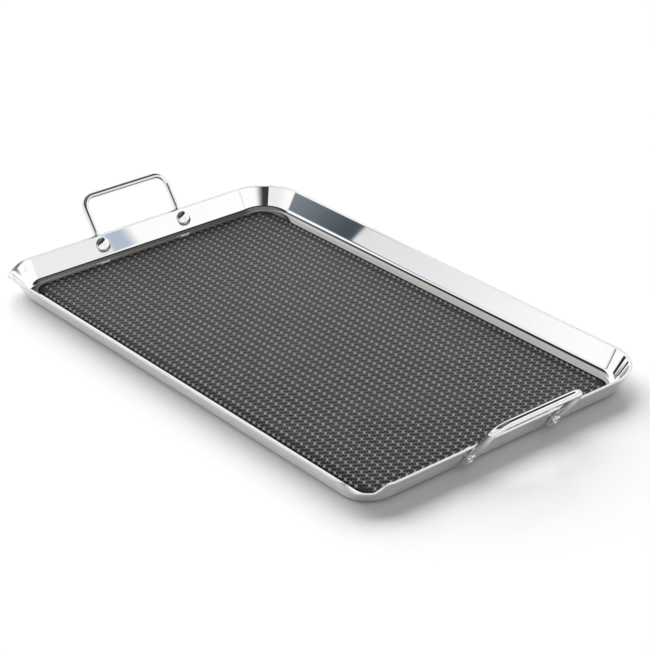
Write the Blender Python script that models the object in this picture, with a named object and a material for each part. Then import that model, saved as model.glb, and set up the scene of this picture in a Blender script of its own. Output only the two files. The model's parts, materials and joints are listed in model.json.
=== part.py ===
"""Stovetop griddle tray with a non-stick floor, two pour spouts and two riveted wire handles.

Metres, +Z up.  X runs along the long side and Y across it.  The two spouts are at the
corners on the -Y side.  The origin is at the centre of the underside.
"""
import math

import bmesh
import bpy
from mathutils import Vector

# Tray, over the rim
TRAY_LENGTH = 0.484
TRAY_WIDTH = 0.305
TRAY_HEIGHT = 0.021
WALL_FLARE = math.radians(30.6)      # lean of the wall from upright
CORNER_RADIUS = 0.042                # plain corners, at the rim
SPOUT_CORNER_RADIUS = 0.036          # corners with a spout, at the rim
FOOT_RADIUS = 0.0093                 # outer bend between floor and wall

# Clad sheet, from the outside in
OUTER_PLY = 0.0006
CORE_PLY = 0.0012
INNER_PLY = 0.0006
GAP = 0.0003                         # clearance between pieces that touch

# Pour spouts
SPOUT_LIP_WIDTH = 0.0120             # level part of the lip
SPOUT_WIDTH = 0.0365                 # over the shoulders
SPOUT_REACH = 0.003                  # how far the lip is drawn out
SPOUT_DROP = 0.0045                  # how far the lip is pressed down

# Non-stick field on the floor
FIELD_THICKNESS = 0.0003
FIELD_END_MARGIN = 0.0020            # bare floor at the short walls
FIELD_SIDE_MARGIN = 0.0055           # bare floor at the long walls
FIELD_CORNER_RADIUS = 0.015

# Handles
HANDLE_SPACING = 0.089               # between the two legs of one handle
HANDLE_WIRE = 0.006
HANDLE_REACH = 0.0455                 # rivet centre to grip bar, measured up the wall
HANDLE_BEND_RADIUS = 0.0110
HANDLE_LEAN = math.radians(6.0)      # lean of the grip beyond the wall's own flare
TAB_WIDTH = 0.0118                   # at its widest, near the tip; it narrows all the way to the wire
TAB_CORNER_RADIUS = 0.0026
TAB_THICKNESS = 0.0024
TAB_BELOW = 0.0074                   # tab end to rivet centre
TAB_ABOVE = 0.0050                   # rivet centre to where the tab starts to turn into wire
TAB_BLEND = 0.0070                   # length over which flat turns into round

# Rivets
RIVET_HEIGHT = 0.012                 # centre of the hole in the outer face
SHANK_RADIUS = 0.003
HEAD_RADIUS = 0.007
HEAD_RISE = 0.0028
TAIL_RADIUS = 0.0045
TAIL_THICKNESS = 0.0016
TAIL_BEVEL = 0.0005
TAIL_RECESS_RADIUS = 0.0024
TAIL_RECESS_DEPTH = 0.0009

# Fineness of the curves
CORNER_STEPS = 7
SPOUT_CORNER_STEPS = 24
BEND_STEPS = 3
WALL_STEPS = 4
WIRE_SIDES = 14
BEND_SECTIONS = 7
RIVET_SIDES = 20
DOME_STEPS = 5
TAB_SQUARENESS = 5.0                 # exponent of the tab's section; 2 would be an ellipse

SHEET = OUTER_PLY + GAP + CORE_PLY + GAP + INNER_PLY
WALL_FOOT = FOOT_RADIUS * (1.0 - math.sin(WALL_FLARE))
TAB_FACE = GAP + TAB_THICKNESS       # outer face of a tab, off the wall
CORNERS = ((1, 1), (-1, 1), (-1, -1), (1, -1))


def clear_scene():
    for item in list(bpy.data.objects):
        bpy.data.objects.remove(item, do_unlink=True)


def make_material(name, colour, roughness, metallic):
    material = bpy.data.materials.new(name)
    material.use_nodes = True
    shader = material.node_tree.nodes["Principled BSDF"]
    shader.inputs["Base Color"].default_value = (*colour, 1.0)
    shader.inputs["Roughness"].default_value = roughness
    shader.inputs["Metallic"].default_value = metallic
    return material


def add_object(name, bm, material=None):
    """Turn a bmesh into a named object, shaded smooth with sharp corners kept."""
    bmesh.ops.recalc_face_normals(bm, faces=bm.faces)
    mesh = bpy.data.meshes.new(name)
    bm.to_mesh(mesh)
    bm.free()
    mesh.shade_smooth()
    mesh.set_sharp_from_angle(angle=math.radians(30.0))
    item = bpy.data.objects.new(name, mesh)
    bpy.context.scene.collection.objects.link(item)
    if material:
        mesh.materials.append(material)
    return item


def add_ring(bm, points):
    """A closed loop of edges through the points."""
    verts = [bm.verts.new(point) for point in points]
    return [bm.edges.new((verts[i - 1], verts[i])) for i in range(len(verts))]


def skin_rings(rings):
    """One closed body through a series of rings, with a face at each end."""
    bm = bmesh.new()
    loops = [add_ring(bm, ring) for ring in rings]
    for lower, upper in zip(loops, loops[1:]):
        bmesh.ops.bridge_loops(bm, edges=lower + upper)
    for loop in (loops[0], loops[-1]):
        bmesh.ops.contextual_create(bm, geom=loop)
    return bm


def ease(share):
    share = min(max(share, 0.0), 1.0)
    return share * share * (3.0 - 2.0 * share)


def spout_share(angle_off_middle, height):
    """1 on the lip of a spout, easing to 0 past its shoulders and down at the foot."""
    lip = SPOUT_LIP_WIDTH / 2.0 / SPOUT_CORNER_RADIUS
    shoulder = SPOUT_WIDTH / 2.0 / SPOUT_CORNER_RADIUS
    across = 1.0 - ease((abs(angle_off_middle) - lip) / (shoulder - lip))
    up = (height - WALL_FOOT) / (TRAY_HEIGHT - WALL_FOOT)
    return across * min(max(up, 0.0), 1.0)


def tray_ring(inset, height):
    """The tray's outline, drawn in from the rim by inset, at one height."""
    points = []
    for quarter, (side_x, side_y) in enumerate(CORNERS):
        has_spout = side_y < 0
        rim_radius = SPOUT_CORNER_RADIUS if has_spout else CORNER_RADIUS
        steps = SPOUT_CORNER_STEPS if has_spout else CORNER_STEPS
        centre_x = side_x * (TRAY_LENGTH / 2.0 - rim_radius)
        centre_y = side_y * (TRAY_WIDTH / 2.0 - rim_radius)
        for step in range(steps + 1):
            turn = math.pi / 2.0 * step / steps
            angle = math.pi / 2.0 * quarter + turn
            share = spout_share(turn - math.pi / 4.0, height) if has_spout else 0.0
            radius = rim_radius - inset + SPOUT_REACH * share
            x = centre_x + radius * math.cos(angle)
            y = centre_y + radius * math.sin(angle)
            points.append(Vector((x, y, height - SPOUT_DROP * share)))
    return points


def floor_inset():
    """Inset from the rim at which the flat floor starts."""
    return math.tan(WALL_FLARE) * (TRAY_HEIGHT - FOOT_RADIUS) + FOOT_RADIUS / math.cos(WALL_FLARE)


def face_profile(depth):
    """(inset, height) up one face of the sheet, from the floor's edge to the rim."""
    radius = FOOT_RADIUS - depth
    profile = []
    for step in range(BEND_STEPS + 1):
        dip = math.pi / 2.0 - (math.pi / 2.0 - WALL_FLARE) * step / BEND_STEPS
        inset = floor_inset() - radius * math.cos(dip)
        profile.append((inset, FOOT_RADIUS - radius * math.sin(dip)))
    bend_inset, bend_height = profile[-1]
    for step in range(1, WALL_STEPS + 1):
        rise = (TRAY_HEIGHT - bend_height) * step / WALL_STEPS
        profile.append((bend_inset - math.tan(WALL_FLARE) * rise, bend_height + rise))
    return profile


def add_ply(name, depth, thickness, material):
    """One ply of the sheet: up its outer face, over the rim and down its inner face."""
    outside = face_profile(depth)
    inside = face_profile(depth + thickness)
    rings = [tray_ring(*station) for station in outside + inside[::-1]]
    return add_object(name, skin_rings(rings), material)


def add_field(name, material):
    """The non-stick field, a thin plate just clear of the liner's floor."""
    edge = floor_inset()
    half_x = TRAY_LENGTH / 2.0 - edge - FIELD_END_MARGIN - FIELD_CORNER_RADIUS
    half_y = TRAY_WIDTH / 2.0 - edge - FIELD_SIDE_MARGIN - FIELD_CORNER_RADIUS
    outline = []
    for quarter, (side_x, side_y) in enumerate(CORNERS):
        for step in range(CORNER_STEPS + 1):
            angle = math.pi / 2.0 * (quarter + step / CORNER_STEPS)
            x = side_x * half_x + FIELD_CORNER_RADIUS * math.cos(angle)
            y = side_y * half_y + FIELD_CORNER_RADIUS * math.sin(angle)
            outline.append((x, y))
    bottom = SHEET + GAP
    levels = (bottom, bottom + FIELD_THICKNESS)
    rings = [[Vector((x, y, level)) for x, y in outline] for level in levels]
    return add_object(name, skin_rings(rings), material)


def on_wall(side, up, out, along):
    """A point measured from the middle of an end wall: up it, off its face and along Y."""
    start = TRAY_LENGTH / 2.0 - math.tan(WALL_FLARE) * (TRAY_HEIGHT - RIVET_HEIGHT)
    x = start + up * math.sin(WALL_FLARE) + out * math.cos(WALL_FLARE)
    z = RIVET_HEIGHT + up * math.cos(WALL_FLARE) - out * math.sin(WALL_FLARE)
    return Vector((side * x, along, z))


def leg_stations():
    """(up, width, thickness, squareness) from the tip of a tab to the start of the bend."""
    stations = []
    widest = TAB_CORNER_RADIUS - TAB_BELOW
    wire_start = TAB_ABOVE + TAB_BLEND
    for degrees in (80, 60, 38, 18, 0):
        angle = math.radians(degrees)
        up = widest - TAB_CORNER_RADIUS * math.sin(angle)
        width = TAB_WIDTH - 2.0 * TAB_CORNER_RADIUS * (1.0 - math.cos(angle))
        stations.append((up, width, TAB_THICKNESS, TAB_SQUARENESS))
    for step in range(5):
        share = ease(step / 4.0)
        up = TAB_ABOVE + TAB_BLEND * step / 4.0
        width = TAB_WIDTH + (HANDLE_WIRE - TAB_WIDTH) * (up - widest) / (wire_start - widest)
        thickness = TAB_THICKNESS + (HANDLE_WIRE - TAB_THICKNESS) * share
        squareness = TAB_SQUARENESS + (2.0 - TAB_SQUARENESS) * share
        stations.append((up, width, thickness, squareness))
    return stations


def grip_path():
    """(up, along, turn) round one bend of the handle, from the leg to the grip bar."""
    centre_up = HANDLE_REACH - HANDLE_BEND_RADIUS
    centre_along = HANDLE_SPACING / 2.0 - HANDLE_BEND_RADIUS
    path = []
    for step in range(BEND_SECTIONS + 1):
        turn = math.pi / 2.0 * step / BEND_SECTIONS
        up = centre_up + HANDLE_BEND_RADIUS * math.sin(turn)
        path.append((up, centre_along + HANDLE_BEND_RADIUS * math.cos(turn), turn))
    return path


def wire_section(side, up, along, turn, width, thickness, squareness):
    """A section square to the handle's path; its inner face keeps clear of the wall."""
    wire_start = TAB_ABOVE + TAB_BLEND
    out = GAP + thickness / 2.0 + max(up - wire_start, 0.0) * math.tan(HANDLE_LEAN)
    points = []
    for corner in range(WIRE_SIDES):
        angle = 2.0 * math.pi * (corner + 0.5) / WIRE_SIDES
        wide = math.copysign(abs(math.cos(angle)) ** (2.0 / squareness), math.cos(angle))
        deep = math.copysign(abs(math.sin(angle)) ** (2.0 / squareness), math.sin(angle))
        shift = width / 2.0 * wide
        section_up = up + shift * math.sin(turn)
        section_along = along + shift * math.cos(turn)
        points.append(on_wall(side, section_up, out + thickness / 2.0 * deep, section_along))
    return points


def add_handle(name, side, material):
    """One bent wire with both ends pressed into flat tabs."""
    leg = HANDLE_SPACING / 2.0
    half = [(up, leg, 0.0, width, thickness, squareness)
            for up, width, thickness, squareness in leg_stations()]
    half += [(up, along, turn, HANDLE_WIRE, HANDLE_WIRE, 2.0) for up, along, turn in grip_path()]
    other = [(up, -along, math.pi - turn, width, thickness, squareness)
             for up, along, turn, width, thickness, squareness in reversed(half)]
    rings = [wire_section(side, *station) for station in half + other]
    return add_object(name, skin_rings(rings), material)


def rivet_profile():
    """(radius, out) from the crown of the head inside to the middle of the tail outside."""
    head_base = -(SHEET + GAP)
    profile = []
    for step in range(DOME_STEPS):
        angle = math.pi / 2.0 * step / DOME_STEPS
        profile.append((HEAD_RADIUS * math.sin(angle), head_base - HEAD_RISE * math.cos(angle)))
    tail_base = TAB_FACE + GAP
    tail_top = tail_base + TAIL_THICKNESS
    profile += [
        (HEAD_RADIUS, head_base),
        (SHANK_RADIUS, head_base),
        (SHANK_RADIUS, tail_base),
        (TAIL_RADIUS, tail_base),
        (TAIL_RADIUS, tail_top - TAIL_BEVEL),
        (TAIL_RADIUS - TAIL_BEVEL, tail_top),
        (TAIL_RECESS_RADIUS, tail_top),
        (TAIL_RECESS_RADIUS - TAIL_BEVEL, tail_top - TAIL_RECESS_DEPTH),
        (0.0, tail_top - TAIL_RECESS_DEPTH),
    ]
    return profile


def turn_profile(profile, side, along):
    """Spin a profile round the line through a rivet's hole."""
    bm = bmesh.new()
    middle = on_wall(side, 0.0, 0.0, along)
    axis = on_wall(side, 0.0, 1.0, along) - middle
    verts = [bm.verts.new(middle + axis * out + Vector((0.0, radius, 0.0)))
             for radius, out in profile]
    edges = [bm.edges.new(pair) for pair in zip(verts, verts[1:])]
    bmesh.ops.spin(bm, geom=verts + edges, cent=middle, axis=axis, angle=2.0 * math.pi,
                   steps=RIVET_SIDES, use_merge=True)
    bmesh.ops.remove_doubles(bm, verts=bm.verts, dist=0.00001)
    return bm


def add_hole_cutter(name, side, along):
    """A pin that clears the shank, long enough to pass through the sheet and the tab."""
    radius = SHANK_RADIUS + GAP
    inner = -2.0 * SHEET
    outer = 2.0 * TAB_FACE
    profile = [(0.0, inner), (radius, inner), (radius, outer), (0.0, outer)]
    cutter = add_object(name, turn_profile(profile, side, along))
    cutter.hide_render = True
    cutter.display_type = "WIRE"
    return cutter


def cut_hole(item, cutter):
    hole = item.modifiers.new(cutter.name, "BOOLEAN")
    hole.operation = "DIFFERENCE"
    hole.solver = "EXACT"
    hole.object = cutter


def build_griddle():
    brushed = make_material("brushed_stainless", (0.62, 0.62, 0.61), 0.32, 1.0)
    polished = make_material("polished_stainless", (0.80, 0.80, 0.80), 0.08, 1.0)
    aluminium = make_material("aluminium", (0.72, 0.73, 0.74), 0.40, 1.0)
    nonstick = make_material("etched_nonstick", (0.055, 0.055, 0.06), 0.45, 0.0)

    core_depth = OUTER_PLY + GAP
    liner_depth = core_depth + CORE_PLY + GAP
    plies = [
        add_ply("outer_steel_shell", 0.0, OUTER_PLY, brushed),
        add_ply("aluminium_core", core_depth, CORE_PLY, aluminium),
        add_ply("inner_steel_liner", liner_depth, INNER_PLY, polished),
    ]
    add_field("nonstick_surface", nonstick)

    for side, side_name in ((-1, "left"), (1, "right")):
        handle = add_handle(side_name + "_handle", side, polished)
        for along, place in ((-HANDLE_SPACING / 2.0, "front"), (HANDLE_SPACING / 2.0, "back")):
            name = side_name + "_" + place
            add_object(name + "_rivet", turn_profile(rivet_profile(), side, along), polished)
            cutter = add_hole_cutter(name + "_hole", side, along)
            for item in plies + [handle]:
                cut_hole(item, cutter)


clear_scene()
build_griddle()
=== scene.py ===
"""Stovetop griddle tray: clad steel sheet, etched non-stick floor, wire handles and rivets.

Metres, +Z up. X runs along the long side and Y across it. The two pouring corners are on the
-Y side and the tray stands on Z = 0. A handle and its rivets are made lying on their back,
X along the end wall, Y up it and Z out of it, and are then seated on the wall.
"""
import itertools
import json
import math

import bmesh
import bpy
from bpy.props import FloatProperty, FloatVectorProperty, PointerProperty
from mathutils import Matrix, Vector

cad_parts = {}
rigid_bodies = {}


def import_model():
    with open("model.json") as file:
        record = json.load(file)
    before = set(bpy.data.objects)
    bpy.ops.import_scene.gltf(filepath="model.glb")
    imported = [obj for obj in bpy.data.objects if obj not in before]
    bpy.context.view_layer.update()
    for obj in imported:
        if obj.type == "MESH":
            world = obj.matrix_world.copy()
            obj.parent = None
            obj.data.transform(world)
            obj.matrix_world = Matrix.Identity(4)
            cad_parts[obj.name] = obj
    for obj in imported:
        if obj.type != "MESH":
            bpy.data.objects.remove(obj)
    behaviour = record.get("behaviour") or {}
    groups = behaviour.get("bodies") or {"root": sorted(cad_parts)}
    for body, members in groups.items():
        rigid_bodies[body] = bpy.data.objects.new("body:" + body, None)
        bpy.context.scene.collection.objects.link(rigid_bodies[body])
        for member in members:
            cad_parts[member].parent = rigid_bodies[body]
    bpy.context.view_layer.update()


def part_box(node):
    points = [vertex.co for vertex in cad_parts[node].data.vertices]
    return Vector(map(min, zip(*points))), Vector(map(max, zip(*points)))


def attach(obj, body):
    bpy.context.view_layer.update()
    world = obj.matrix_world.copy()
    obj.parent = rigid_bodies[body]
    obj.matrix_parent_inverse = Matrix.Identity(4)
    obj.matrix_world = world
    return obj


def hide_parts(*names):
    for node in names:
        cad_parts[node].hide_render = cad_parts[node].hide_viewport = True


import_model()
SHELL_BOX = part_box("outer_steel_shell")
FIELD_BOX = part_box("nonstick_surface")

bl_info = {
    "name": "Stovetop griddle tray",
    "version": (1, 0, 0),
    "blender": (4, 5, 0),
    "location": "View3D > Sidebar > Griddle",
    "description": "Clad steel griddle tray with an etched floor, wire handles and rivets",
    "category": "Add Mesh",
}

BODY = "root"
PLY_SEAM = 0.00002          # hairline between plies, and under the coating
STAR_SEAM = 0.000002        # between the coating and the foot of a star
HOLE_SLACK = 0.00005        # hole beyond the radius of the shank
HAIR = 0.0001               # closer than this counts as the same place
BEND_STEPS, WALL_STEPS = 12, 6  # rings down the foot bend and down the straight wall
FLOOR_LAP = 0.0006          # flat ring just inside the foot bend
PIN_LENGTH = 0.018          # pins that cut the rivet holes
RIM_BREAK = 0.00012         # bevel on the edges of the rim
FIELD_BREAK = 0.00008       # bevel on the edge of the coating
STAR_MARGIN = 0.0010        # bare edge round the field of stars
STAR_TURNS = (-16.0, 164.0, 114.0, 294.0)  # arms of a star, degrees
STAR_TIP, STAR_TOP = 0.7, 0.92  # an arm's tip to its root, a star's top to its foot
HEAD_EDGE = 0.0005          # upright edge of a rivet's head
TAIL_HOLLOW, TAIL_DEPTH = 0.0024, 0.0009  # radius and depth of the hollow in a tail
TAB_SQUARENESS = 7.0        # 2 is an ellipse, more is squarer
LIP_RAMP = 0.55             # straight share of a spout's shoulder, the rest is eased
ENDS = ((1, "right"), (-1, "left"))
PLACES = ((-1, "front"), (1, "back"))

# Handling marks: scale, roughness where clean, roughness where smeared.
SATIN_MARKS = (14.0, 0.29, 0.33)
MIRROR_MARKS = (30.0, 0.018, 0.026)
CORE_MARKS = (400.0, 0.22, 0.38)
WIRE_MARKS = (120.0, 0.045, 0.075)
COATING_MARKS = (11.0, 0.36, 0.46)
STAR_MARKS = (60.0, 0.30, 0.45)

# Pits in one cell of the etching: X, Y, radius.
PITS = ((0.00085, 0.0010, 0.00115), (-0.00085, -0.0010, 0.00115),
        (0.0027, 0.0027, 0.0015), (0.0034, -0.0027, 0.0015))
EDGE_LINE = (-0.0032, -0.0018)  # start and end of the black line, from the field's edge
EDGE_PAINTED_SHADE = (-0.016, -0.001)  # the same for the broad band of painted shade at the walls' feet

AIM = Vector((-0.009, 0.0239, 0.0))  # the point that the camera looks at
KEY_WAY = Vector((0.74, -0.12, -0.52))  # the way that the key light shines
KEY_SPREAD = 80.0           # degrees; wider is softer
FLOOR_CUTS = 3              # times that the floor sheet is divided each way


# ---- sizes and colours

def length_prop(name, description, default):
    return FloatProperty(name=name, description=description, default=default,
                         subtype="DISTANCE", unit="LENGTH", precision=5)


def angle_prop(name, description, degrees):
    return FloatProperty(name=name, description=description, default=math.radians(degrees),
                         subtype="ANGLE", unit="ROTATION")


def colour_prop(name, description, default):
    return FloatVectorProperty(name=name, description=description, default=default, size=3,
                               subtype="COLOR", min=0.0, max=1.0)


class GriddleTraySettings(bpy.types.PropertyGroup):
    length: length_prop("Length", "Over the rim, along X", SHELL_BOX[1][0] - SHELL_BOX[0][0])
    width: length_prop("Width", "Over the rim, along Y", SHELL_BOX[1][1] - SHELL_BOX[0][1])
    height: length_prop(
        "Height", "From the underside to the rim", SHELL_BOX[1][2] - SHELL_BOX[0][2])
    flare: angle_prop("Wall flare", "Lean of the wall from upright", 30.6)
    corner_radius: length_prop("Corner radius", "Plain corners, at the rim", 0.042)
    spout_corner_radius: length_prop(
        "Pouring corner radius", "Corners with a spout, at the rim", 0.036)
    foot_radius: length_prop("Foot bend", "Outer radius between floor and wall", 0.0093)
    outer_ply: length_prop("Outer ply", "Thickness of the outer steel", 0.0006)
    core_ply: length_prop("Core ply", "Thickness of the aluminium", 0.0012)
    liner_ply: length_prop("Liner ply", "Thickness of the inner steel", 0.0006)
    lip_width: length_prop("Spout lip", "Level part of a spout's lip", 0.0120)
    spout_width: length_prop("Spout width", "Over a spout's shoulders", 0.0365)
    spout_reach: length_prop("Spout reach", "How far a lip is drawn out", 0.003)
    spout_drop: length_prop("Spout drop", "How far a lip is pressed down", 0.0045)
    outside_colour: colour_prop(
        "Outside steel", "Colour of the satin steel outside", (0.90, 0.90, 0.90))
    inside_colour: colour_prop(
        "Inside steel", "Colour of the mirror steel inside", (0.93, 0.93, 0.935))
    core_colour: colour_prop(
        "Aluminium", "Colour of the core where the rim shows it", (0.90, 0.90, 0.91))


class GriddleCoatingSettings(bpy.types.PropertyGroup):
    length: length_prop(
        "Length", "Coated part of the floor, along X", FIELD_BOX[1][0] - FIELD_BOX[0][0])
    width: length_prop(
        "Width", "Coated part of the floor, along Y", FIELD_BOX[1][1] - FIELD_BOX[0][1])
    corner_radius: length_prop("Corner radius", "Corners of the coated part", 0.015)
    thickness: length_prop("Thickness", "How far the coating stands above the steel", 0.00006)
    star_height: length_prop(
        "Star height", "How far the etched stars stand above the coating", 0.00007)
    pitch_long: length_prop("Pitch along", "Star to star along X", 0.00599)
    pitch_wide: length_prop("Pitch across", "Star to star along Y", 0.00784)
    arm_length: length_prop("Arm", "From the middle of a star to the tip of an arm", 0.0029)
    arm_width: length_prop("Arm width", "Width of an arm at its root", 0.00036)
    coating_colour: colour_prop(
        "Coating", "Colour of the non-stick between the stars", (0.080, 0.081, 0.084))
    pit_colour: colour_prop("Pits", "Colour of the deepest etching", (0.006, 0.006, 0.007))
    star_colour: colour_prop(
        "Stars", "Colour of the steel that stands through the coating", (0.58, 0.59, 0.60))


class GriddleHandleSettings(bpy.types.PropertyGroup):
    spacing: length_prop("Leg spacing", "Between the two legs of one handle", 0.089)
    wire: length_prop("Wire", "Diameter of the wire", 0.0059)
    reach: length_prop("Reach", "Rivet to grip bar, up the wall", 0.0455)
    bend_radius: length_prop("Bend", "Radius of the corners, to the middle of the wire", 0.011)
    lean: angle_prop("Lean", "Lean of the grip beyond the flare of the wall", 6.0)
    tab_width: length_prop("Tab width", "Across a flattened end, near its tip", 0.0118)
    tab_corner: length_prop("Tab corner", "Radius of the corners at the tip", 0.0026)
    tab_below: length_prop("Tab below", "Rivet to the tip of a flattened end", 0.0074)
    tab_above: length_prop("Tab above", "Rivet to where flat starts to turn into round", 0.0050)
    tab_blend: length_prop("Tab blend", "Length over which flat turns into round", 0.0070)
    gap: length_prop("Gap", "Between a handle and the wall it lies on", 0.0003)
    tab_thickness: length_prop("Tab thickness", "Through a flattened end", 0.0024)
    wire_colour: colour_prop("Wire steel", "Colour of the polished wire", (0.88, 0.88, 0.885))


class GriddleRivetSettings(bpy.types.PropertyGroup):
    height: length_prop("Height", "Centre of the hole in the outer face of the wall", 0.012)
    shank_radius: length_prop("Shank", "Radius of the shank", 0.003)
    head_radius: length_prop("Head", "Radius of the domed head inside", 0.007)
    head_rise: length_prop("Crown", "Height of the domed head", 0.0028)
    tail_radius: length_prop("Tail", "Radius of the upset tail outside", 0.0045)
    tail_thickness: length_prop("Tail thickness", "Through the upset tail", 0.0016)
    rivet_colour: colour_prop("Rivet steel", "Colour of the polished rivets", (0.86, 0.86, 0.865))


class GriddleStageSettings(bpy.types.PropertyGroup):
    azimuth: angle_prop("Camera azimuth", "Round the object, 0 looks along +Y", 49.92)
    elevation: angle_prop("Camera elevation", "Above the horizon", 27.49)
    distance: length_prop("Camera distance", "From the point it looks at", 1.748)
    lens: FloatProperty(
        name="Lens", description="Focal length in millimetres",
        default=115.3, min=20.0, max=300.0)
    key_strength: FloatProperty(
        name="Key light", description="Strength of the soft key light",
        default=4.8, min=0.0, max=20.0)
    room_strength: FloatProperty(
        name="Room light", description="Strength of the white room all round",
        default=0.34, min=0.0, max=5.0)
    floor_colour: colour_prop("Floor", "Colour of the matt white floor", (0.86, 0.86, 0.86))
    floor_sheen: FloatProperty(
        name="Floor sheen", description="Share of the floor's light that is reflected",
        default=0.07, min=0.0, max=1.0)


# ---- modelling helpers

def deselect_all():
    if bpy.context.object and bpy.context.object.mode != "OBJECT":
        bpy.ops.object.mode_set(mode="OBJECT")
    bpy.ops.object.select_all(action="DESELECT")


def choose(*items):
    """Select only these objects; the first becomes the active one."""
    deselect_all()
    for item in items:
        item.select_set(True)
    bpy.context.view_layer.objects.active = items[0]


def open_mesh(item, kind="FACE"):
    choose(item)
    bpy.ops.object.mode_set(mode="EDIT")
    bpy.ops.mesh.select_mode(type=kind)


def close_mesh():
    bpy.ops.object.mode_set(mode="OBJECT")


def pick(kind, wanted):
    """Select the verts, edges or faces that the test wants, and return how many."""
    mesh = bpy.context.object.data
    bpy.ops.mesh.select_all(action="DESELECT")
    bm = bmesh.from_edit_mesh(mesh)
    found = [part for part in getattr(bm, kind) if wanted(part)]
    for part in found:
        part.select_set(True)
    bm.select_flush_mode()
    bmesh.update_edit_mesh(mesh)
    return len(found)


def need(found, what):
    if not found:
        raise RuntimeError("nothing found to shape: " + what)


def smooth_by_angle(item, degrees):
    choose(item)
    bpy.ops.object.shade_smooth_by_angle(angle=math.radians(degrees))


def apply_modifier(item, modifier):
    choose(item)
    bpy.ops.object.modifier_apply(modifier=modifier.name)


def weigh_normals(item):
    """Let the broad flat faces set the shading, so that flat walls reflect as flat."""
    weights = item.modifiers.new("weights", "WEIGHTED_NORMAL")
    weights.mode = "FACE_AREA"
    weights.weight = 100
    weights.keep_sharp = True
    apply_modifier(item, weights)


def settle(item):
    """Move the object's place, turn and scale into its mesh."""
    choose(item)
    bpy.ops.object.transform_apply(location=True, rotation=True, scale=True)


def select_all():
    bpy.ops.mesh.select_all(action="SELECT")


def start_piece(name, kind="FACE"):
    """Name the shape just added, and open its mesh with all of it selected."""
    item = bpy.context.object
    item.name = name
    settle(item)
    open_mesh(item, kind)
    select_all()
    return item


def close_solid():
    """Face everything outward and leave edit mode."""
    select_all()
    bpy.ops.mesh.normals_make_consistent(inside=False)
    close_mesh()


def extrude(x, y, z):
    bpy.ops.mesh.extrude_region_move(TRANSFORM_OT_translate={"value": (x, y, z)})


def resize_level(along, across, height):
    bpy.ops.transform.resize(value=(along, across, 1.0), center_override=(0.0, 0.0, height))


def add_rectangle(name, length, width, height):
    """A level rectangle over the origin, left open with its corners selected."""
    bpy.ops.mesh.primitive_plane_add(size=1.0, location=(0.0, 0.0, height))
    item = start_piece(name, "VERT")
    resize_level(length, width, height)
    return item


def round_corners(radius, cuts):
    bpy.ops.mesh.bevel(offset=radius, offset_type="OFFSET", affect="VERTICES",
                       segments=cuts, profile=0.5)


def sheet_top(tray):
    """Height of the floor's upper face, with the seam above it."""
    return tray.outer_ply + tray.core_ply + tray.liner_ply + PLY_SEAM


def declare(item, node, material):
    """Finish a piece: its material, the body it rides on, and hiding the part that it stands for.
    """
    item.data.materials.clear()
    item.data.materials.append(material)
    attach(item, BODY)
    if node:
        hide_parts(node)


def seat(item, side, along):
    """Seat a piece made lying on its back on the right (side 1) or left (-1) end wall."""
    scene = bpy.context.scene
    tray, rivet = scene.griddle_tray, scene.griddle_rivets
    lean_sin, lean_cos = math.sin(tray.flare), math.cos(tray.flare)
    start = tray.length / 2.0 - math.tan(tray.flare) * (tray.height - rivet.height)
    item.matrix_world = Matrix((
        (0.0, side * lean_sin, side * lean_cos, side * start),
        (side, 0.0, 0.0, along),
        (0.0, lean_cos, -lean_sin, rivet.height),
        (0.0, 0.0, 0.0, 1.0)))
    settle(item)


# ---- the clad tray

def ease(share):
    share = min(max(share, 0.0), 1.0)
    return share * share * (3.0 - 2.0 * share)


def floor_inset(tray):
    """Inset from the rim at which the flat floor starts."""
    return (math.tan(tray.flare) * (tray.height - tray.foot_radius)
            + tray.foot_radius / math.cos(tray.flare))


def wall_stations(tray, depth):
    """(inset, height) down one face of the sheet, from the rim to the floor."""
    radius = tray.foot_radius - depth
    edge = floor_inset(tray)
    stations = []
    for step in range(BEND_STEPS + 1):
        dip = math.pi / 2.0 - (math.pi / 2.0 - tray.flare) * step / BEND_STEPS
        stations.append((edge - radius * math.cos(dip),
                         tray.foot_radius - radius * math.sin(dip)))
    bend_inset, bend_height = stations[-1]
    rise = tray.height - bend_height
    shares = [0.03] + [step / WALL_STEPS for step in range(1, WALL_STEPS)] + [0.97, 1.0]
    for share in shares:
        stations.append((bend_inset - math.tan(tray.flare) * rise * share,
                         bend_height + rise * share))
    stations.insert(0, (edge + FLOOR_LAP, stations[0][1]))
    return stations[::-1]


def add_bowl(tray, name, depth):
    """One face of the sheet: the rim's outline, inset and lowered down to the floor."""
    stations = wall_stations(tray, depth)
    inset, height = stations[0]
    bowl = add_rectangle(name, tray.length - 2.0 * inset, tray.width - 2.0 * inset, height)
    far = tray.width / 2.0 - inset - HAIR
    for side, radius, cuts in ((1, tray.corner_radius, 32), (-1, tray.spout_corner_radius, 64)):
        need(pick("verts", lambda v: v.co.y * side > far), "corner of the outline")
        round_corners(radius - inset, cuts)
    bpy.ops.mesh.select_mode(type="FACE")
    select_all()
    for (old_inset, old_height), (new_inset, new_height) in zip(stations, stations[1:]):
        bpy.ops.mesh.inset(thickness=new_inset - old_inset, depth=new_height - old_height,
                           use_even_offset=True)
    close_mesh()
    return bowl


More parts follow.
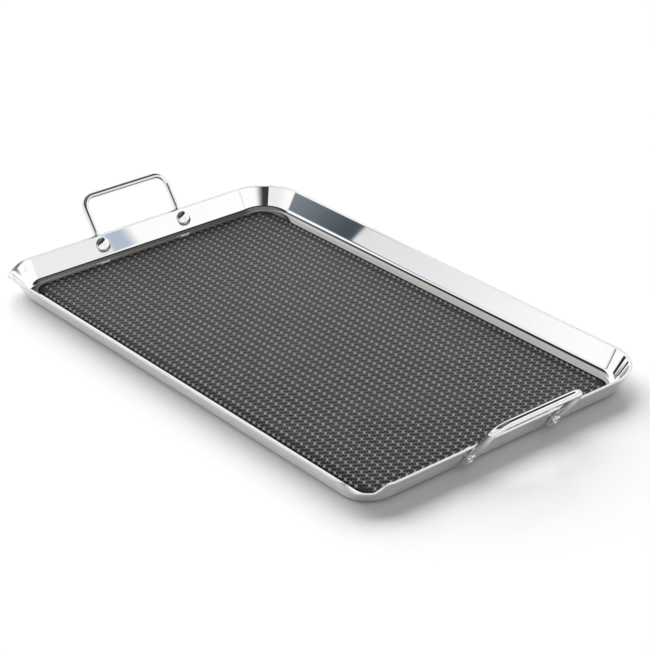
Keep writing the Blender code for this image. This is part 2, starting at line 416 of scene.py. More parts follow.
def press_spouts(tray, item):
    """Draw the two pouring corners out and down, most at the rim and not at all at the foot."""
    lip = tray.lip_width / 2.0 / tray.spout_corner_radius
    shoulder = tray.spout_width / 2.0 / tray.spout_corner_radius
    wall_foot = tray.foot_radius * (1.0 - math.sin(tray.flare))
    centre_x = tray.length / 2.0 - tray.spout_corner_radius
    centre_y = tray.width / 2.0 - tray.spout_corner_radius
    for vert in item.data.vertices:
        x, y, z = vert.co
        if abs(x) <= centre_x or -y <= centre_y:
            continue
        angle = math.atan2(-y - centre_y, abs(x) - centre_x)
        slope = min(max((abs(angle - math.pi / 4.0) - lip) / (shoulder - lip), 0.0), 1.0)
        across = 1.0 - LIP_RAMP * slope - (1.0 - LIP_RAMP) * ease(slope)
        up = (z - wall_foot) / (tray.height - wall_foot)
        share = across * min(max(up, 0.0), 1.0)
        reach = tray.spout_reach * share
        vert.co = (x + math.copysign(reach * math.cos(angle), x),
                   y - reach * math.sin(angle), z - tray.spout_drop * share)
    item.data.update()


def add_ply(tray, name, depth, thickness):
    """One ply of the sheet: two bowls joined over the rim, with its edges broken."""
    outside = add_bowl(tray, name, depth)
    open_mesh(outside, "FACE")
    select_all()
    bpy.ops.mesh.flip_normals()
    close_mesh()
    inside = add_bowl(tray, name + "_inside", depth + thickness)
    choose(outside, inside)
    bpy.ops.object.join()
    open_mesh(outside, "EDGE")
    need(pick("edges", lambda e: e.is_boundary), "rim of the sheet")
    bpy.ops.mesh.bridge_edge_loops()
    select_all()
    bpy.ops.mesh.normals_make_consistent(inside=False)
    need(pick("edges", lambda e: min(v.co.z for v in e.verts) > tray.height - 0.00001
              and e.calc_face_angle(0.0) > math.radians(25.0)), "edges of the rim")
    bpy.ops.mesh.bevel(offset=RIM_BREAK, offset_type="OFFSET", segments=2, affect="EDGES")
    close_mesh()
    press_spouts(tray, outside)
    return outside


def add_hole_cutter():
    """Four pins, one through each rivet hole, joined into one cutter."""
    scene = bpy.context.scene
    radius = scene.griddle_rivets.shank_radius + HOLE_SLACK
    pins = []
    for (side, _), (place, _) in itertools.product(ENDS, PLACES):
        bpy.ops.mesh.primitive_cylinder_add(vertices=32, radius=radius, depth=PIN_LENGTH)
        pins.append(bpy.context.object)
        seat(pins[-1], side, place * scene.griddle_handles.spacing / 2.0)
    choose(*pins)
    bpy.ops.object.join()
    pins[0].name = "rivet_hole_cutter"
    return pins[0]


def cut_holes(item, cutter):
    hole = item.modifiers.new("rivet_holes", "BOOLEAN")
    hole.operation = "DIFFERENCE"
    hole.solver = "EXACT"
    hole.object = cutter
    apply_modifier(item, hole)


# ---- node helpers

def feed(tree, socket, value):
    """Link a socket to an output, or set its own value."""
    if isinstance(value, bpy.types.NodeSocket):
        tree.links.new(value, socket)
    else:
        socket.default_value = value


def maths(tree, operation, *values):
    node = tree.nodes.new("ShaderNodeMath")
    node.operation = operation
    for socket, value in zip(node.inputs, values):
        feed(tree, socket, value)
    return node.outputs[0]


def smooth_step(tree, value, start, end, low=0.0, high=1.0):
    node = tree.nodes.new("ShaderNodeMapRange")
    node.interpolation_type = "SMOOTHSTEP"
    for name, setting in (("Value", value), ("From Min", start), ("From Max", end),
                          ("To Min", low), ("To Max", high)):
        feed(tree, node.inputs[name], setting)
    return node.outputs["Result"]


def stretch(tree, vector, scale):
    node = tree.nodes.new("ShaderNodeVectorMath")
    node.operation = "MULTIPLY"
    feed(tree, node.inputs[0], vector)
    feed(tree, node.inputs[1], scale)
    return node.outputs[0]


def noise(tree, vector, scale, detail, roughness=0.5):
    node = tree.nodes.new("ShaderNodeTexNoise")
    feed(tree, node.inputs["Vector"], vector)
    feed(tree, node.inputs["Scale"], scale)
    feed(tree, node.inputs["Detail"], detail)
    feed(tree, node.inputs["Roughness"], roughness)
    return node.outputs["Fac"]


def blend_colours(tree, share, first, second):
    node = tree.nodes.new("ShaderNodeMix")
    node.data_type = "RGBA"
    for place, value in ((0, share), (6, first), (7, second)):
        feed(tree, node.inputs[place], value)
    return node.outputs[2]


def product(tree, first, second):
    return maths(tree, "MULTIPLY", first, second)


def length_of(tree, first, second):
    return maths(tree, "SQRT", maths(tree, "ADD", product(tree, first, first),
                                     product(tree, second, second)))


def axes(tree, vector):
    node = tree.nodes.new("ShaderNodeSeparateXYZ")
    feed(tree, node.inputs[0], vector)
    return node.outputs


def mix_shaders(tree, share, first, second):
    node = tree.nodes.new("ShaderNodeMixShader")
    for socket, value in zip(node.inputs, (share, first, second)):
        feed(tree, socket, value)
    return node.outputs[0]


def bump(tree, height, distance, strength):
    node = tree.nodes.new("ShaderNodeBump")
    node.inputs["Strength"].default_value = strength
    node.inputs["Distance"].default_value = distance
    feed(tree, node.inputs["Height"], height)
    return node.outputs["Normal"]


def object_place(tree):
    return tree.nodes.new("ShaderNodeTexCoord").outputs["Object"]


def start_group(name, inputs, outputs):
    """A node group from a place and named numbers to named numbers."""
    group = bpy.data.node_groups.new(name, "ShaderNodeTree")
    group.interface.new_socket("Place", in_out="INPUT", socket_type="NodeSocketVector")
    for label, value in inputs.items():
        socket = group.interface.new_socket(label, in_out="INPUT", socket_type="NodeSocketFloat")
        socket.default_value = value
    for label in outputs:
        group.interface.new_socket(label, in_out="OUTPUT", socket_type="NodeSocketFloat")
    return (group, group.nodes.new("NodeGroupInput").outputs,
            group.nodes.new("NodeGroupOutput").inputs)


def use_group(tree, name, **values):
    """Place a node group; each value's name is its input's, with _ for a space."""
    node = tree.nodes.new("ShaderNodeGroup")
    node.node_tree = bpy.data.node_groups[name]
    for label, value in values.items():
        feed(tree, node.inputs[label.replace("_", " ")], value)
    return node.outputs


# ---- finishes

def build_brushed_grain():
    """Fine level scratches round the walls, and straight ones along X underneath."""
    group, given, result = start_group(
        "brushed_grain", {"Flat below": 0.001}, ("Height", "Streaks"))
    fine, broad, under = (
        noise(group, stretch(group, given["Place"], scale), 1.0, 2.0)
        for scale in ((9.0, 9.0, 1500.0), (5.0, 5.0, 420.0), (9.0, 1500.0, 9.0)))
    is_under = maths(group, "LESS_THAN", axes(group, given["Place"])["Z"], given["Flat below"])
    walls = maths(group, "ADD", product(group, fine, 0.6), product(group, broad, 0.4))
    mixed = group.nodes.new("ShaderNodeMix")
    for place, value in ((0, is_under), (2, walls), (3, under)):
        feed(group, mixed.inputs[place], value)
    feed(group, result["Height"], mixed.outputs[0])
    feed(group, result["Streaks"], smooth_step(group, mixed.outputs[0], 0.35, 0.65))


def build_handling_marks():
    """Faint cloudy smears and a few fine scratches that vary the polish."""
    group, given, result = start_group(
        "handling_marks", {"Scale": 20.0, "Clean": 0.05, "Smeared": 0.12},
        ("Roughness", "Mask"))
    cloud = noise(group, given["Place"], given["Scale"], 4.0, 0.6)
    mask = smooth_step(group, cloud, 0.45, 0.75)
    feed(group, result["Mask"], mask)
    feed(group, result["Roughness"],
         smooth_step(group, mask, 0.0, 1.0, given["Clean"], given["Smeared"]))


def wrapped(tree, value, pitch):
    """Distance to the nearest multiple of the pitch, with its sign."""
    share = maths(tree, "DIVIDE", value, pitch)
    return product(tree, maths(tree, "SUBTRACT", share, maths(tree, "ROUND", share)), pitch)


def build_etched_pits():
    """The etching between the stars: four soft pits in each cell of the lattice."""
    group, given, result = start_group(
        "etched_pits", {"Pitch long": 0.006, "Pitch wide": 0.008}, ("Pits", "Ridges"))
    split = axes(group, given["Place"])
    pits = None
    for along, across, size in PITS:
        off_x = wrapped(group, maths(group, "SUBTRACT", split["X"], along), given["Pitch long"])
        off_y = wrapped(group, maths(group, "SUBTRACT", split["Y"], across), given["Pitch wide"])
        reach = length_of(group, off_x, off_y)
        pit = smooth_step(group, reach, size, size * 0.35)
        pits = pit if pits is None else maths(group, "MAXIMUM", pits, pit)
    feed(group, result["Pits"], pits)
    feed(group, result["Ridges"], maths(group, "SUBTRACT", 1.0, pits))


def build_edge_band():
    """1 near the edge of a rounded rectangle centred on the origin, 0 inside it."""
    group, given, result = start_group(
        "edge_band", {"Half length": 0.2, "Half width": 0.1, "Corner": 0.02,
                      "Inner": -0.004, "Outer": -0.001}, ("Band",))
    split = axes(group, given["Place"])
    reach = []
    for axis, half in (("X", "Half length"), ("Y", "Half width")):
        straight = maths(group, "SUBTRACT", given[half], given["Corner"])
        reach.append(maths(group, "SUBTRACT", maths(group, "ABSOLUTE", split[axis]), straight))
    corner = length_of(group, *(maths(group, "MAXIMUM", past, 0.0) for past in reach))
    inside = maths(group, "MINIMUM", maths(group, "MAXIMUM", reach[0], reach[1]), 0.0)
    distance = maths(group, "SUBTRACT", maths(group, "ADD", corner, inside), given["Corner"])
    feed(group, result["Band"], smooth_step(group, distance, given["Inner"], given["Outer"]))


def start_material(name, metallic):
    material = bpy.data.materials.new(name)
    material.use_nodes = True
    shader = material.node_tree.nodes["Principled BSDF"]
    shader.inputs["Metallic"].default_value = metallic
    return material, material.node_tree, shader


def rgba(colour, share=1.0):
    """The opaque colour, with its channels times share."""
    return (*(channel * share for channel in colour), 1.0)


def add_marks(tree, shader, place, settings):
    """Vary the polish with handling marks, and return the mask of the smeared parts."""
    scale, clean, smeared = settings
    marks = use_group(tree, "handling_marks", Place=place, Scale=scale, Clean=clean,
                      Smeared=smeared)
    feed(tree, shader.inputs["Roughness"], marks["Roughness"])
    return marks["Mask"]


def marked_metal(name, metallic, colour, dull, settings):
    """Metal whose colour falls to the dull share where it is smeared."""
    material, tree, shader = start_material(name, metallic)
    mask = add_marks(tree, shader, object_place(tree), settings)
    feed(tree, shader.inputs["Base Color"],
         blend_colours(tree, mask, rgba(colour), rgba(colour, dull)))
    return material


def satin_outside(tray):
    """Satin steel with a level brushed grain."""
    material, tree, shader = start_material("satin_steel_outside", 1.0)
    place = object_place(tree)
    grain = use_group(tree, "brushed_grain", Place=place, Flat_below=0.0012)
    add_marks(tree, shader, place, SATIN_MARKS)
    feed(tree, shader.inputs["Base Color"],
         blend_colours(tree, grain["Streaks"], rgba(tray.outside_colour, 0.86),
                       rgba(tray.outside_colour)))
    feed(tree, shader.inputs["Normal"], bump(tree, grain["Height"], 0.00002, 0.5))
    return material


def drawn_wire(colour, name):
    """Polished drawn steel for the handles and rivets."""
    material = marked_metal(name, 1.0, colour, 0.93, WIRE_MARKS)
    tree = material.node_tree
    grain = noise(tree, stretch(tree, object_place(tree), (900.0, 60.0, 900.0)), 1.0, 2.0)
    feed(tree, tree.nodes["Principled BSDF"].inputs["Normal"], bump(tree, grain, 0.000004, 0.5))
    return material


def etched_coating(coating):
    """Dark non-stick with soft pits between the stars, a black edge line and painted shade at the
    edge.
    """
    material, tree, shader = start_material("etched_nonstick", 0.0)
    place = object_place(tree)
    pit = rgba(coating.pit_colour)
    pits = use_group(tree, "etched_pits", Place=place, Pitch_long=coating.pitch_long,
                     Pitch_wide=coating.pitch_wide)
    # shade is a band of painted shade round the field's edge, where the walls shade the floor
    line, shade = (
        use_group(tree, "edge_band", Place=place, Half_length=coating.length / 2.0,
                  Half_width=coating.width / 2.0, Corner=coating.corner_radius,
                  Inner=inner, Outer=outer)["Band"] for inner, outer in (EDGE_LINE, EDGE_PAINTED_SHADE))
    smears = add_marks(tree, shader, place, COATING_MARKS)
    speckle = noise(tree, place, 1600.0, 2.0)
    colour = blend_colours(tree, pits["Pits"], rgba(coating.coating_colour), pit)
    # Smears lighten, speckle darkens, and in the shade band the colour falls to the pits' as
    # painted shade
    for mask, share, shade_colour in ((smears, 0.35, rgba(coating.coating_colour, 1.25)),
                                      (speckle, 0.35, pit), (shade, 0.6, pit)):
        colour = blend_colours(tree, product(tree, mask, share), colour, shade_colour)
    feed(tree, shader.inputs["Base Color"],
         blend_colours(tree, line, colour, (0.008, 0.008, 0.009, 1.0)))
    feed(tree, shader.inputs["Normal"], bump(tree, pits["Ridges"], 0.00012, 0.6))
    shader.inputs["Specular IOR Level"].default_value = 0.02
    return material


# ---- coating and stars

def add_coating(tray, coating):
    """The coated part of the floor: a rounded plate with a broken top edge."""
    plate = add_rectangle("nonstick_coating", coating.length, coating.width, sheet_top(tray))
    round_corners(coating.corner_radius, 24)
    bpy.ops.mesh.select_mode(type="FACE")
    select_all()
    extrude(0.0, 0.0, coating.thickness * 0.6)
    bpy.ops.mesh.inset(thickness=FIELD_BREAK, depth=coating.thickness * 0.4)
    close_solid()
    smooth_by_angle(plate, 20.0)
    return plate


def add_star(coating, base):
    """One star: two straight arms that cross, raised a little above the coating."""
    half = coating.arm_width / 2.0
    turns = sorted(math.radians(turn) % (2.0 * math.pi) for turn in STAR_TURNS)
    corners = []
    spread = math.atan2(half * STAR_TIP, coating.arm_length)
    for turn, following in zip(turns, turns[1:] + [turns[0] + 2.0 * math.pi]):
        corners.append((turn - spread, coating.arm_length))
        corners.append((turn + spread, coating.arm_length))
        corners.append(((turn + following) / 2.0, half / math.sin((following - turn) / 2.0)))
    bpy.ops.mesh.primitive_circle_add(vertices=len(corners), radius=coating.arm_length,
                                      fill_type="NGON", location=(0.0, 0.0, base))
    star = bpy.context.object
    settle(star)
    verts = sorted(star.data.vertices, key=lambda v: math.atan2(v.co.y, v.co.x) % (2 * math.pi))
    for vert, (turn, reach) in zip(verts, corners):
        vert.co = (reach * math.cos(turn), reach * math.sin(turn), base)
    open_mesh(star, "FACE")
    select_all()
    extrude(0.0, 0.0, coating.star_height)
    resize_level(STAR_TOP, STAR_TOP, base + coating.star_height)
    close_solid()
    return star


def repeat(item, count, step):
    row = item.modifiers.new("repeat", "ARRAY")
    row.count = count
    row.use_relative_offset = False
    row.use_constant_offset = True
    row.constant_offset_displace = step
    apply_modifier(item, row)


def add_stars(tray, coating):
    """The lattice of stars, trimmed to the coated part of the floor."""
    base = sheet_top(tray) + coating.thickness + STAR_SEAM
    stars = add_star(coating, base)
    stars.name = "etched_stars"
    half_long = int(coating.length / 2.0 / coating.pitch_long) + 1
    half_wide = int(coating.width / 2.0 / coating.pitch_wide) + 1
    repeat(stars, 2 * half_long + 1, (coating.pitch_long, 0.0, 0.0))
    repeat(stars, 2 * half_wide + 1, (0.0, coating.pitch_wide, 0.0))
    stars.location = (-half_long * coating.pitch_long, -half_wide * coating.pitch_wide, 0.0)
    settle(stars)
    half_x, half_y = coating.length / 2.0 - STAR_MARGIN, coating.width / 2.0 - STAR_MARGIN
    open_mesh(stars, "FACE")
    for axis, half in ((0, half_x), (1, half_y)):
        for sign in (1.0, -1.0):
            point, normal = [0.0, 0.0, base], [0.0, 0.0, 0.0]
            point[axis], normal[axis] = sign * half, sign
            select_all()
            bpy.ops.mesh.bisect(plane_co=point, plane_no=normal, use_fill=True,
                                clear_outer=True)
    corner = coating.corner_radius

    def past_corner(vert):
        off_x = abs(vert.co.x) - (half_x - corner)
        off_y = abs(vert.co.y) - (half_y - corner)
        return off_x > 0.0 and off_y > 0.0 and math.hypot(off_x, off_y) > corner

    bpy.ops.mesh.select_mode(type="VERT")
    if pick("verts", past_corner):
        bpy.ops.mesh.select_linked()
        bpy.ops.mesh.delete(type="VERT")
    close_mesh()
    return stars


# ---- handles and rivets

def square_off(ring, middle_x, middle_z, width, thickness, squareness):
    """Give one section of the wire its width, thickness and flatness."""
    for vert in ring:
        angle = math.atan2(vert.co.z - middle_z[0], vert.co.x - middle_x)
        wide, deep = (math.copysign(abs(share) ** (2.0 / squareness), share)
                      for share in (math.cos(angle), math.sin(angle)))
        vert.co.x = middle_x + width / 2.0 * wide
        vert.co.z = middle_z[1] + thickness / 2.0 * deep


def tab_stations(handle):
    """(up, width, thickness, squareness) from the wire down to the tip of a flattened end."""
    widest = handle.tab_corner - handle.tab_below
    start = handle.tab_above + handle.tab_blend
    stations = []
    for step in range(1, 11):
        share = ease(step / 10.0)
        up = start - handle.tab_blend * step / 10.0
        taper = (start - up) / (start - widest)
        stations.append((up, handle.wire + (handle.tab_width - handle.wire) * taper,
                         handle.wire + (handle.tab_thickness - handle.wire) * share,
                         2.0 + (TAB_SQUARENESS - 2.0) * share))
    for degrees in (0, 12, 25, 38, 50, 62, 74, 86):
        angle = math.radians(degrees)
        stations.append((widest - handle.tab_corner * math.sin(angle),
                         handle.tab_width - 2.0 * handle.tab_corner * (1.0 - math.cos(angle)),
                         handle.tab_thickness, TAB_SQUARENESS))
    return stations


def add_handle(name):
    """Half a handle, drawn from a disc of wire, then mirrored across the tray."""
    handle = bpy.context.scene.griddle_handles
    leg, radius = handle.spacing / 2.0, handle.wire / 2.0
    start_up = handle.tab_above + handle.tab_blend
    middle_z = handle.gap + radius
    bend_up = start_up + (handle.reach - start_up) / math.cos(handle.lean) - handle.bend_radius
    turned = (math.pi / 2.0, 0.0, 0.0)
    bpy.ops.mesh.primitive_circle_add(vertices=28, radius=radius, fill_type="NGON",
                                      location=(leg, start_up, middle_z), rotation=turned)
    item = start_piece(name)
    for length in (0.0006, 0.0012, bend_up - start_up - 0.0018):
        extrude(0.0, length, 0.0)
    bpy.ops.mesh.spin(steps=18, angle=-math.pi / 2.0, axis=(0.0, 0.0, 1.0),
                      center=(leg - handle.bend_radius, bend_up, middle_z))
    for _ in range(2):
        extrude((handle.bend_radius - leg) / 2.0, 0.0, 0.0)
    need(pick("faces", lambda f: max(v.co.x for v in f.verts) < HAIR), "middle of the grip")
    bpy.ops.mesh.delete(type="FACE")
    lean = Matrix.Rotation(handle.lean, 3, "X")
    pivot = Vector((0.0, start_up, middle_z))
    bm = bmesh.from_edit_mesh(item.data)
    for vert in bm.verts:
        if vert.co.y > start_up + HAIR:
            vert.co = pivot + lean @ (vert.co - pivot)
    bmesh.update_edit_mesh(item.data)
    need(pick("faces", lambda f: max(v.co.y for v in f.verts) < start_up + HAIR
              and len(f.verts) > 4), "foot of the leg")
    last_z = middle_z
    for up, width, thickness, squareness in tab_stations(handle):
        bm = bmesh.from_edit_mesh(item.data)
        here = next(v.co.y for v in bm.verts if v.select)
        extrude(0.0, up - here, 0.0)
        bm = bmesh.from_edit_mesh(item.data)
        ring = [v for v in bm.verts if v.select]
        new_z = handle.gap + thickness / 2.0
        square_off(ring, leg, (last_z, new_z), width, thickness, squareness)
        last_z = new_z
        bmesh.update_edit_mesh(item.data)
    close_mesh()
    other = item.modifiers.new("other_half", "MIRROR")
    other.use_axis = (True, False, False)
    other.merge_threshold = 0.00005
    apply_modifier(item, other)
    open_mesh(item, "VERT")
    select_all()
    bpy.ops.mesh.remove_doubles(threshold=0.00001)
    close_solid()
    return item


def add_rivet(name):
    """One rivet, drawn up along its own axis from the crown inside to the tail outside."""
    scene = bpy.context.scene
    tray, rivet, handle = scene.griddle_tray, scene.griddle_rivets, scene.griddle_handles
    head_base = -sheet_top(tray)
    tail_base = handle.gap + handle.tab_thickness + PLY_SEAM
    tail_top = tail_base + rivet.tail_thickness
    shank, tail = rivet.shank_radius, rivet.tail_radius
    profile = []
    for step in range(1, 10):
        angle = math.pi / 2.0 * step / 10.0
        profile.append((rivet.head_radius * math.sin(angle),
                        head_base - HEAD_EDGE - (rivet.head_rise - HEAD_EDGE) * math.cos(angle)))
    profile += [
        (rivet.head_radius, head_base - HEAD_EDGE), (rivet.head_radius - 0.0001, head_base),
        (shank, head_base), (shank, tail_base),
        (tail - 0.0002, tail_base), (tail, tail_base + 0.0002),
        (tail, tail_top - 0.0006), (tail - 0.0002, tail_top - 0.0002),
        (tail - 0.0006, tail_top), (TAIL_HOLLOW + 0.0003, tail_top),
        (TAIL_HOLLOW, tail_top - 0.0003), (TAIL_HOLLOW - 0.0003, tail_top - TAIL_DEPTH + 0.0002),
        (TAIL_HOLLOW - 0.0006, tail_top - TAIL_DEPTH)]
    (radius, out), rest = profile[0], profile[1:]
    bpy.ops.mesh.primitive_circle_add(vertices=40, radius=radius, fill_type="NGON",
                                      location=(0.0, 0.0, out))
    item = start_piece(name)
    for new_radius, new_out in rest:
        extrude(0.0, 0.0, new_out - out)
        resize_level(new_radius / radius, new_radius / radius, new_out)
        radius, out = new_radius, new_out
    close_solid()
    return item


def remove(*items):
    for item in items:
        bpy.data.objects.remove(item, do_unlink=True)


def copy_piece(item, name):
    twin = item.copy()
    twin.data = item.data.copy()
    twin.name = name
    bpy.context.collection.objects.link(twin)
    return twin


# ---- studio

def window(tree, value, low, high, soft_low, soft_high):
    """1 between low and high, falling to 0 outside over its own softness at each end."""
    rise = smooth_step(tree, value, low - soft_low, low + soft_low)
    fall = smooth_step(tree, value, high + soft_high, high - soft_high)
    return product(tree, rise, fall)


def build_room(stage):
    """A white room with dark gaps between its soft boxes, seen only in reflections."""
    world = bpy.data.worlds.new("white_room")
    bpy.context.scene.world = world
    world.use_nodes = True
    tree = world.node_tree
    tree.nodes.clear()
    split = axes(tree, tree.nodes.new("ShaderNodeTexCoord").outputs["Generated"])
    turn = maths(tree, "DEGREES", maths(tree, "ARCTAN2", split["Y"], split["X"]))
    lift = maths(tree, "DEGREES", maths(tree, "ARCSINE", split["Z"]))
    white, pale = rgba((1.06, 1.06, 1.06)), rgba((0.90, 0.90, 0.90))
    doorway = blend_colours(tree, smooth_step(tree, turn, -139.4, -135.8),
                            (0.27, 0.31, 0.345, 1.0), (0.050, 0.070, 0.083, 1.0))
    beside = blend_colours(tree, smooth_step(tree, turn, -136.0, -128.0),
                           (0.80, 0.81, 0.82, 1.0), white)
    room = white
    # In degrees. Turn: from, to, softness of each end. Lift: from, to, softness.
    for turns, (bottom, top, soft), shade in (
            ((-136.1, -126.0, 0.1, 2.0), (10.0, 34.0, 3.0), beside),
            ((-139.2, -136.1, 0.08, 0.05), (5.0, 30.0, 2.0), doorway),
            ((-100.0, -56.0, 20.0, 1.0), (20.0, 48.0, 6.0), pale),
            ((-55.0, -24.0, 0.6, 15.0), (26.0, 46.0, 3.0), rgba((0.045, 0.045, 0.045))),
            ((31.0, 34.2, 1.0, 0.15), (14.0, 34.0, 3.0), pale),
            ((34.2, 34.9, 0.10, 0.22), (14.0, 34.0, 3.0), rgba((0.47, 0.54, 0.63))),
            ((-181.0, 181.0, 0.5, 0.5), (3.0, 7.5, 0.8), rgba((0.030, 0.030, 0.030)))):
        gap = product(tree, window(tree, turn, *turns),
                      window(tree, lift, bottom, top, soft, soft))
        room = blend_colours(tree, gap, room, shade)
    overhead = blend_colours(tree, smooth_step(tree, lift, 48.0, 66.0),
                             (0.022, 0.021, 0.020, 1.0), (0.17, 0.16, 0.15, 1.0))
    room = blend_colours(tree, smooth_step(tree, lift, 38.0, 44.0), room, overhead)
    beam = product(tree, window(tree, turn, 130.0, 179.5, 8.0, 0.5),
                   window(tree, lift, 38.0, 58.0, 3.0, 2.0))
    room = blend_colours(tree, beam, room, (0.50, 0.485, 0.465, 1.0))
    paths = tree.nodes.new("ShaderNodeLightPath").outputs
    reflected = tree.nodes.new("ShaderNodeBackground")
    feed(tree, reflected.inputs["Color"], room)
    plain = tree.nodes.new("ShaderNodeBackground")
    plain.inputs["Color"].default_value = (1.0, 1.0, 1.0, 1.0)
    feed(tree, plain.inputs["Strength"], maths(
        tree, "MAXIMUM", paths["Is Camera Ray"], stage.room_strength))
    feed(tree, tree.nodes.new("ShaderNodeOutputWorld").inputs["Surface"],
         mix_shaders(tree, paths["Is Glossy Ray"], plain.outputs[0], reflected.outputs[0]))


def build_floor(stage):
    """A wide matt white sheet with a faint sheen, for the tray to stand on."""
    bpy.ops.mesh.primitive_plane_add(size=12.0, location=(0.0, 0.0, -0.0002))
    floor = start_piece("studio_floor")
    bpy.ops.mesh.subdivide(number_cuts=FLOOR_CUTS)
    close_mesh()
    material = bpy.data.materials.new("white_floor")
    material.use_nodes = True
    tree = material.node_tree
    tree.nodes.clear()
    speck = noise(tree, object_place(tree), 3.0, 2.0)
    matt = tree.nodes.new("ShaderNodeBsdfDiffuse")
    feed(tree, matt.inputs["Color"], blend_colours(
        tree, speck, rgba(stage.floor_colour), rgba(stage.floor_colour, 0.985)))
    sheen = tree.nodes.new("ShaderNodeBsdfGlossy")
    sheen.inputs["Roughness"].default_value = 0.10
    feed(tree, tree.nodes.new("ShaderNodeOutputMaterial").inputs["Surface"],
         mix_shaders(tree, stage.floor_sheen, matt.outputs[0], sheen.outputs[0]))
    floor.data.materials.append(material)


def build_key(stage):
    """A broad soft key light from the left, 35 degrees up, hidden from mirrors."""
    bpy.ops.object.light_add(type="SUN", location=(-1.5, -0.3, 2.2))
    key = bpy.context.object
    key.name = "soft_key"
    key.rotation_euler = KEY_WAY.normalized().to_track_quat("-Z", "Y").to_euler()
    key.data.energy = stage.key_strength
    key.data.angle = math.radians(KEY_SPREAD)
    key.visible_glossy = False


def build_camera(stage):
    turn, lift = stage.azimuth, stage.elevation
    back = Vector((math.sin(turn) * math.cos(lift), -math.cos(turn) * math.cos(lift),
                   math.sin(lift)))
    bpy.ops.object.camera_add(location=AIM + back * stage.distance)
    camera = bpy.context.object
    camera.name = "view"
    camera.rotation_euler = (-back).to_track_quat("-Z", "Y").to_euler()
    camera.data.lens = stage.lens
    camera.data.sensor_width = 36.0
    camera.data.clip_start = 0.01
    bpy.context.scene.camera = camera


# ---- operators

class GRIDDLE_OT_stage(bpy.types.Operator):
    """Make the floor, the white room, the key light and the camera"""
    bl_idname = "griddle.stage"
    bl_label = "Studio"
    bl_options = {"REGISTER", "UNDO"}

    def execute(self, context):
        stage = context.scene.griddle_stage
        deselect_all()
        build_room(stage)
        build_floor(stage)
        build_key(stage)
        build_camera(stage)
        context.scene.view_settings.view_transform = "Standard"
        return {"FINISHED"}


class GRIDDLE_OT_finishes(bpy.types.Operator):
    """Build the shader groups that the finishes share"""
    bl_idname = "griddle.finishes"
    bl_label = "Shared finishes"
    bl_options = {"REGISTER", "UNDO"}

    def execute(self, context):
        build_brushed_grain()
        build_handling_marks()
        build_etched_pits()
        build_edge_band()
        return {"FINISHED"}


class GRIDDLE_OT_tray(bpy.types.Operator):
    """Make the three plies of the clad tray, with their rivet holes"""
    bl_idname = "griddle.tray"
    bl_label = "Clad tray"
    bl_options = {"REGISTER", "UNDO"}

    def execute(self, context):
        tray = context.scene.griddle_tray
        deselect_all()
        cutter = add_hole_cutter()
        plies = (
            ("satin_outer_ply", "outer_steel_shell", "brushed_steel_outside",
             0.0, tray.outer_ply, satin_outside(tray)),
            ("aluminium_middle_ply", "aluminium_core", "core_aluminium",
             tray.outer_ply + PLY_SEAM, tray.core_ply - 2.0 * PLY_SEAM,
             marked_metal("ground_aluminium", 1.0, tray.core_colour, 0.93, CORE_MARKS)),
            ("mirror_inner_ply", "inner_steel_liner", "polished_steel_inside",
             tray.outer_ply + tray.core_ply, tray.liner_ply,
             marked_metal("mirror_steel_inside", 1.0, tray.inside_colour, 0.97, MIRROR_MARKS)))
        for name, node, slot, depth, thickness, material in plies:
            ply = add_ply(tray, name, depth, thickness)
            cut_holes(ply, cutter)
            smooth_by_angle(ply, 24.0)
            weigh_normals(ply)
            declare(ply, node, material)
        remove(cutter)
        return {"FINISHED"}


class GRIDDLE_OT_coating(bpy.types.Operator):
    """Make the non-stick coating and the etched stars that stand through it"""
    bl_idname = "griddle.coating"
    bl_label = "Etched coating"
    bl_options = {"REGISTER", "UNDO"}

    def execute(self, context):
        tray, coating = context.scene.griddle_tray, context.scene.griddle_coating
        deselect_all()
        plate = add_coating(tray, coating)
        declare(plate, "nonstick_surface", etched_coating(coating))
        stars = add_stars(tray, coating)
        declare(stars, None,
                marked_metal("star_steel", 0.55, coating.star_colour, 0.75, STAR_MARKS))
        return {"FINISHED"}


class GRIDDLE_OT_handles(bpy.types.Operator):
    """Bend the two wire handles and seat them on the end walls"""
    bl_idname = "griddle.handles"
    bl_label = "Wire handles"
    bl_options = {"REGISTER", "UNDO"}

    def execute(self, context):
        handle = context.scene.griddle_handles
        deselect_all()
        cutter = add_hole_cutter()
        polished = drawn_wire(handle.wire_colour, "polished_wire")
        model = add_handle("handle_model")
        for side, side_name in ENDS:
            item = copy_piece(model, side_name + "_wire_handle")
            seat(item, side, 0.0)
            cut_holes(item, cutter)
            smooth_by_angle(item, 32.0)
            declare(item, side_name + "_handle", polished)
        remove(model, cutter)
        return {"FINISHED"}


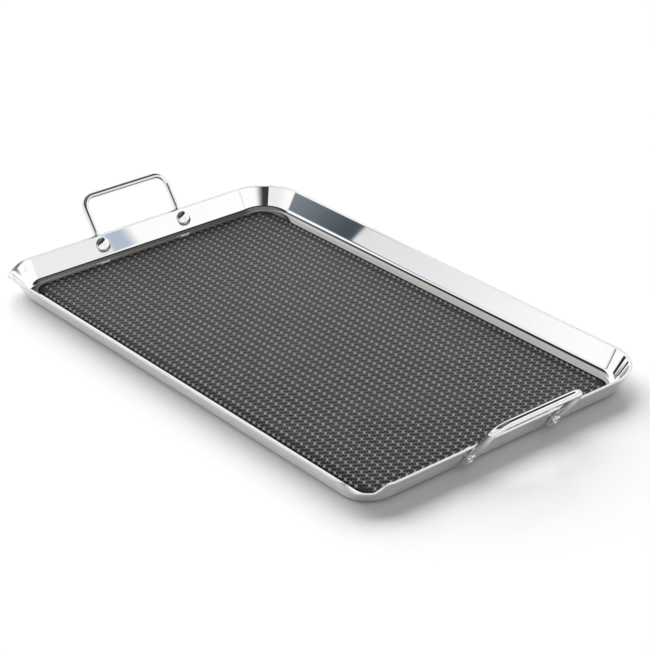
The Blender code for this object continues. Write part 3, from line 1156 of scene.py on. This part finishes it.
class GRIDDLE_OT_rivets(bpy.types.Operator):
    """Turn the four rivets and set them through the tabs and walls"""
    bl_idname = "griddle.rivets"
    bl_label = "Rivets"
    bl_options = {"REGISTER", "UNDO"}

    def execute(self, context):
        scene = context.scene
        deselect_all()
        polished = drawn_wire(scene.griddle_rivets.rivet_colour, "polished_rivet")
        model = add_rivet("rivet_model")
        for (side, side_name), (place, place_name) in itertools.product(ENDS, PLACES):
            node = side_name + "_" + place_name + "_rivet"
            item = copy_piece(model, node + "_turned")
            seat(item, side, place * scene.griddle_handles.spacing / 2.0)
            smooth_by_angle(item, 40.0)
            declare(item, node, polished)
        remove(model)
        return {"FINISHED"}


class GRIDDLE_PT_parts(bpy.types.Panel):
    """Sizes, colours and a button for each part of the griddle tray"""
    bl_idname = "GRIDDLE_PT_parts"
    bl_label = "Griddle tray"
    bl_space_type = "VIEW_3D"
    bl_region_type = "UI"
    bl_category = "Griddle"

    def draw(self, context):
        layout = self.layout
        layout.operator(GRIDDLE_OT_finishes.bl_idname)
        for operator, settings in SECTIONS:
            box = layout.box()
            box.operator(operator.bl_idname)
            group = getattr(context.scene, settings)
            for name in group.__annotations__:
                box.prop(group, name)


SECTIONS = (
    (GRIDDLE_OT_stage, "griddle_stage"),
    (GRIDDLE_OT_tray, "griddle_tray"),
    (GRIDDLE_OT_coating, "griddle_coating"),
    (GRIDDLE_OT_handles, "griddle_handles"),
    (GRIDDLE_OT_rivets, "griddle_rivets"),
)

SETTINGS = (
    ("griddle_stage", GriddleStageSettings),
    ("griddle_tray", GriddleTraySettings),
    ("griddle_coating", GriddleCoatingSettings),
    ("griddle_handles", GriddleHandleSettings),
    ("griddle_rivets", GriddleRivetSettings),
)

CLASSES = (
    *(group for _, group in SETTINGS),
    *(operator for operator, _ in SECTIONS),
    GRIDDLE_OT_finishes,
    GRIDDLE_PT_parts,
)


def register():
    for item in CLASSES:
        bpy.utils.register_class(item)
    for name, group in SETTINGS:
        setattr(bpy.types.Scene, name, PointerProperty(type=group))


def unregister():
    for name, _ in SETTINGS:
        delattr(bpy.types.Scene, name)
    for item in reversed(CLASSES):
        bpy.utils.unregister_class(item)


def main():
    register()
    bpy.ops.griddle.stage()
    bpy.ops.griddle.finishes()
    bpy.ops.griddle.tray()
    bpy.ops.griddle.coating()
    bpy.ops.griddle.handles()
    bpy.ops.griddle.rivets()
    deselect_all()


if __name__ == "__main__":
    main()
